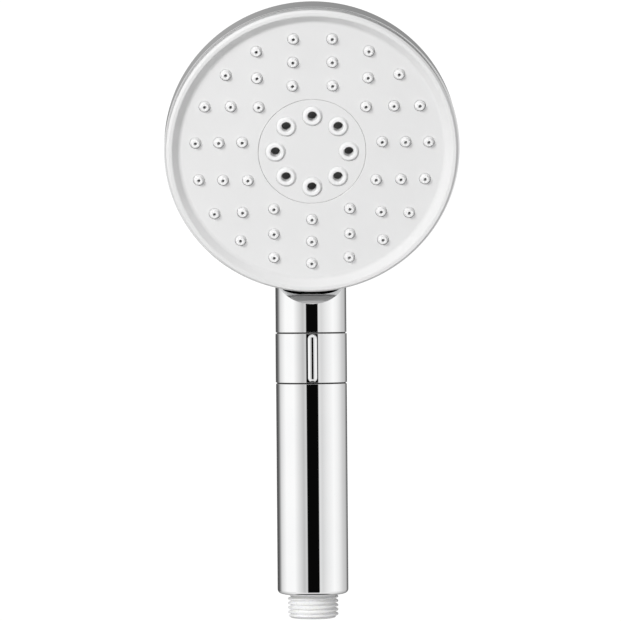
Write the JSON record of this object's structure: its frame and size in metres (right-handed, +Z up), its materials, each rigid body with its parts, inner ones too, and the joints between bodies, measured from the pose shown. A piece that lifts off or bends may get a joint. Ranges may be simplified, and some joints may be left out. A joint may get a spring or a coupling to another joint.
{
  "type": "handheld shower head",
  "caption": "Handheld shower head: round tilted spray face on a straight round handle, with a turning selector ring and a threaded hose inlet at the foot.",
  "frame": {"origin": "centre of the end face of the hose thread, on the handle's axis", "axes": "+Z up the handle's axis towards the head, -Y the way the spray face looks, +X to the right as seen from the front"},
  "size_m": [0.12, 0.0659, 0.2519],
  "materials": {
    "chrome_head": "polished",
    "chrome_handle": "polished",
    "chrome_ring": "polished",
    "chrome_rib": "polished",
    "white_face": "satin gloss",
    "white_disc": "satin gloss",
    "soft_white": "soft matte",
    "white_inlet": "moulded",
    "grey_plastic": "moulded",
    "slip_plastic": "moulded",
    "green_plastic": "moulded",
    "black_rubber": "matte",
    "steel": "plain"
  },
  "bodies": {
    "shower_body": {"head_shell": "chrome_head", "face_plate": "white_face", "centre_disc": "white_disc", "rain_nozzles": "soft_white", "jet_nozzles": "soft_white", "spray_chamber": "grey_plastic", "manifold_cover": "grey_plastic", "manifold_gasket": "black_rubber", "manifold_screws": "steel", "rim_seal": "black_rubber", "twin_waterway": "grey_plastic", "waterway_gasket": "black_rubber", "duct_seals": "black_rubber", "valve_housing": "grey_plastic", "housing_oring": "black_rubber", "port_seal": "black_rubber", "detent_ball": "steel", "detent_spring": "steel", "glide_washer_lower": "slip_plastic", "glide_washer_upper": "slip_plastic", "snap_ring": "steel", "handle_sleeve": "chrome_handle", "inner_pipe": "grey_plastic", "pipe_orings": "black_rubber", "pipe_spacer": "grey_plastic", "flow_regulator": "green_plastic", "regulator_oring": "black_rubber", "inlet_strainer": "steel", "inlet_spigot": "white_inlet"},
    "selector": {"selector_ring": "chrome_ring", "selector_rib": "chrome_rib", "drive_key": "steel", "diverter_spool": "slip_plastic", "spool_orings": "black_rubber"}
  },
  "joints": [
    {"name": "selector_turn", "type": "hinge", "parent": "shower_body", "child": "selector", "pos_m": [0, 0, 0.1078], "axis": [0, 0, 1], "range_deg": [-45, 45]}
  ]
}
